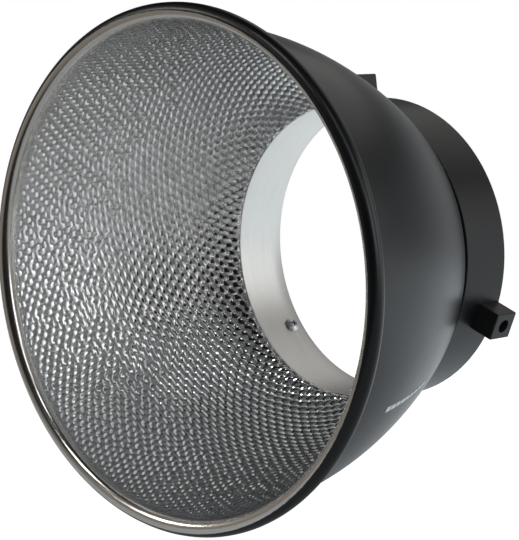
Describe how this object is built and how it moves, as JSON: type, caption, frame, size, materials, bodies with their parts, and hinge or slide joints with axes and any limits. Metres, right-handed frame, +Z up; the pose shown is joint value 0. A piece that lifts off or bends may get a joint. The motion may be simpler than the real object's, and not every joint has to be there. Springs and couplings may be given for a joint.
{
  "type": "studio flash reflector",
  "caption": "Round spun-metal light reflector with a hammered inside, a rolled rim and a short neck with bayonet lugs for a studio flash head.",
  "frame": {"origin": "centre of the neck's rear edge, on the optical axis, where the reflector meets the flash head", "axes": "+Y along the optical axis towards the flash head, so the bowl opens to -Y; +Z up, through the top bayonet lug; +X to the right seen from the front"},
  "size_m": [0.18, 0.112, 0.18],
  "materials": {
    "bowl_paint": "satin black baked paint on the outside",
    "bare_aluminium": "bare, hammered in the bowl and plain in the neck",
    "collar_paint": "matte black",
    "lug_black": "matte black",
    "screw_steel": "zinc plated"
  },
  "bodies": {
    "root": {"reflector_bowl": "bowl_paint", "neck_collar": "collar_paint", "lug_top": "lug_black", "lug_right": "lug_black", "lug_left": "lug_black", "lug_screw_top": "screw_steel", "lug_screw_right": "screw_steel", "lug_screw_left": "screw_steel"}
  },
  "joints": []
}
